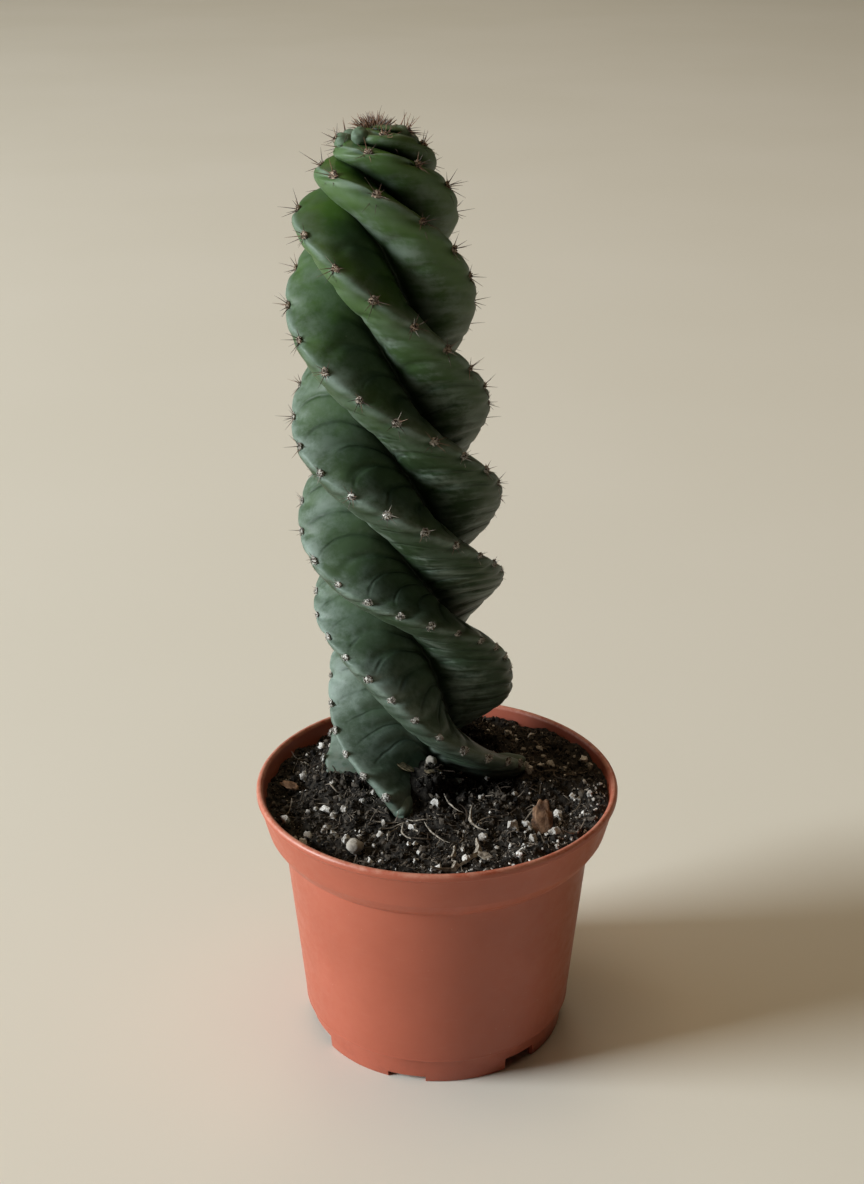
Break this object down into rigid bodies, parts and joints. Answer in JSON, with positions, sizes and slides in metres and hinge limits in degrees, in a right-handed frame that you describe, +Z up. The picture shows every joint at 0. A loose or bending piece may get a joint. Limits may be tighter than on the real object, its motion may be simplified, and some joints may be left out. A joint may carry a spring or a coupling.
{
  "type": "potted spiral cactus",
  "caption": "Columnar cactus with ribs twisted into a left-handed spiral, spined along the rib edges, standing in soil in a round nursery pot.",
  "frame": {"origin": "centre of the pot's foot, on the surface that the pot stands on", "axes": "+Z up along the pot's axis, the front of the plant towards -Y, +X to the right seen from the front"},
  "size_m": [0.12, 0.12, 0.3126],
  "materials": {
    "pot": "satin terracotta-coloured moulded polypropylene, with a slightly paler lip edge and light scuffs",
    "soil": "dark peat and fibre potting mix with white perlite grains",
    "stem": "waxy deep green skin with a blue-grey bloom, grey felted areoles and brown spines",
    "bark": "rough reddish-brown pine bark",
    "pebble": "dull pale stone",
    "perlite": "chalky white expanded glass grain",
    "dry_litter": "dry fibrous plant scrap"
  },
  "bodies": {
    "root": {"pot": "pot", "soil": "soil", "stem": "stem", "bark_chip": "bark", "bark_chip_small": "bark", "pebble": "pebble", "perlite_lump": "perlite", "leaf_scrap": "dry_litter", "twig_left": "dry_litter", "twig_right": "dry_litter"}
  },
  "joints": []
}
